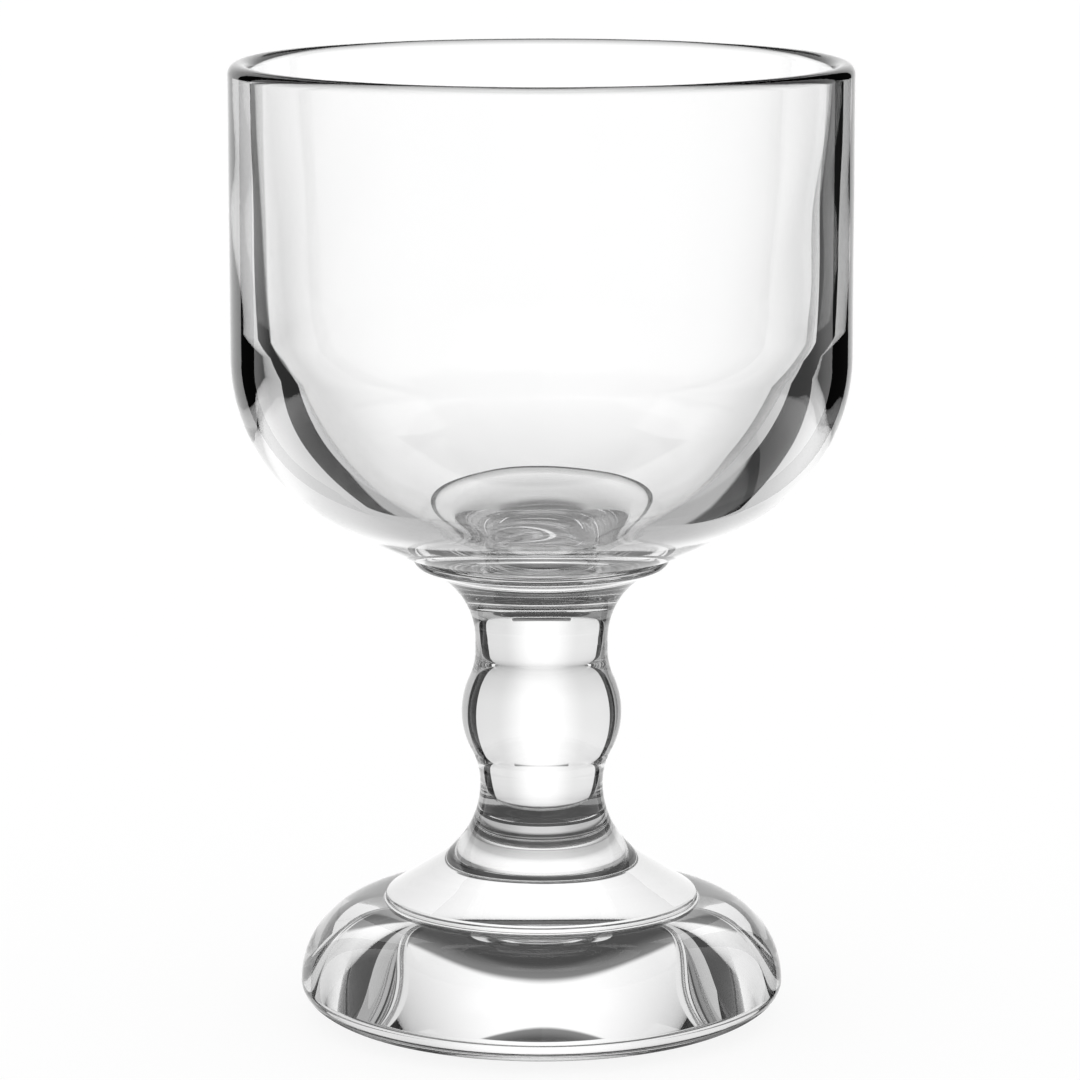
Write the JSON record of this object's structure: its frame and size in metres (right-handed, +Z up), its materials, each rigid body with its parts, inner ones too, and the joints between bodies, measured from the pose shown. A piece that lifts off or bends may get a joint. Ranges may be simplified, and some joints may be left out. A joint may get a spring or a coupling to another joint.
{
  "type": "drinking glass",
  "caption": "Heavy clear pressed-glass goblet with a deep round bowl, a short solid stem with a knop, and a stepped, domed foot, for cold drinks and desserts.",
  "frame": {"origin": "centre of the foot, in the plane of the bearing ring on which the glass stands", "axes": "+Z up along the glass's axis; the glass is round, so X and Y are free"},
  "size_m": [0.109, 0.109, 0.17],
  "materials": {
    "clear_glass": "clear, smooth and fire-polished, with the slight waviness of pressed glass"
  },
  "bodies": {
    "root": {"bowl": "clear_glass", "stem": "clear_glass", "foot": "clear_glass"}
  },
  "joints": []
}
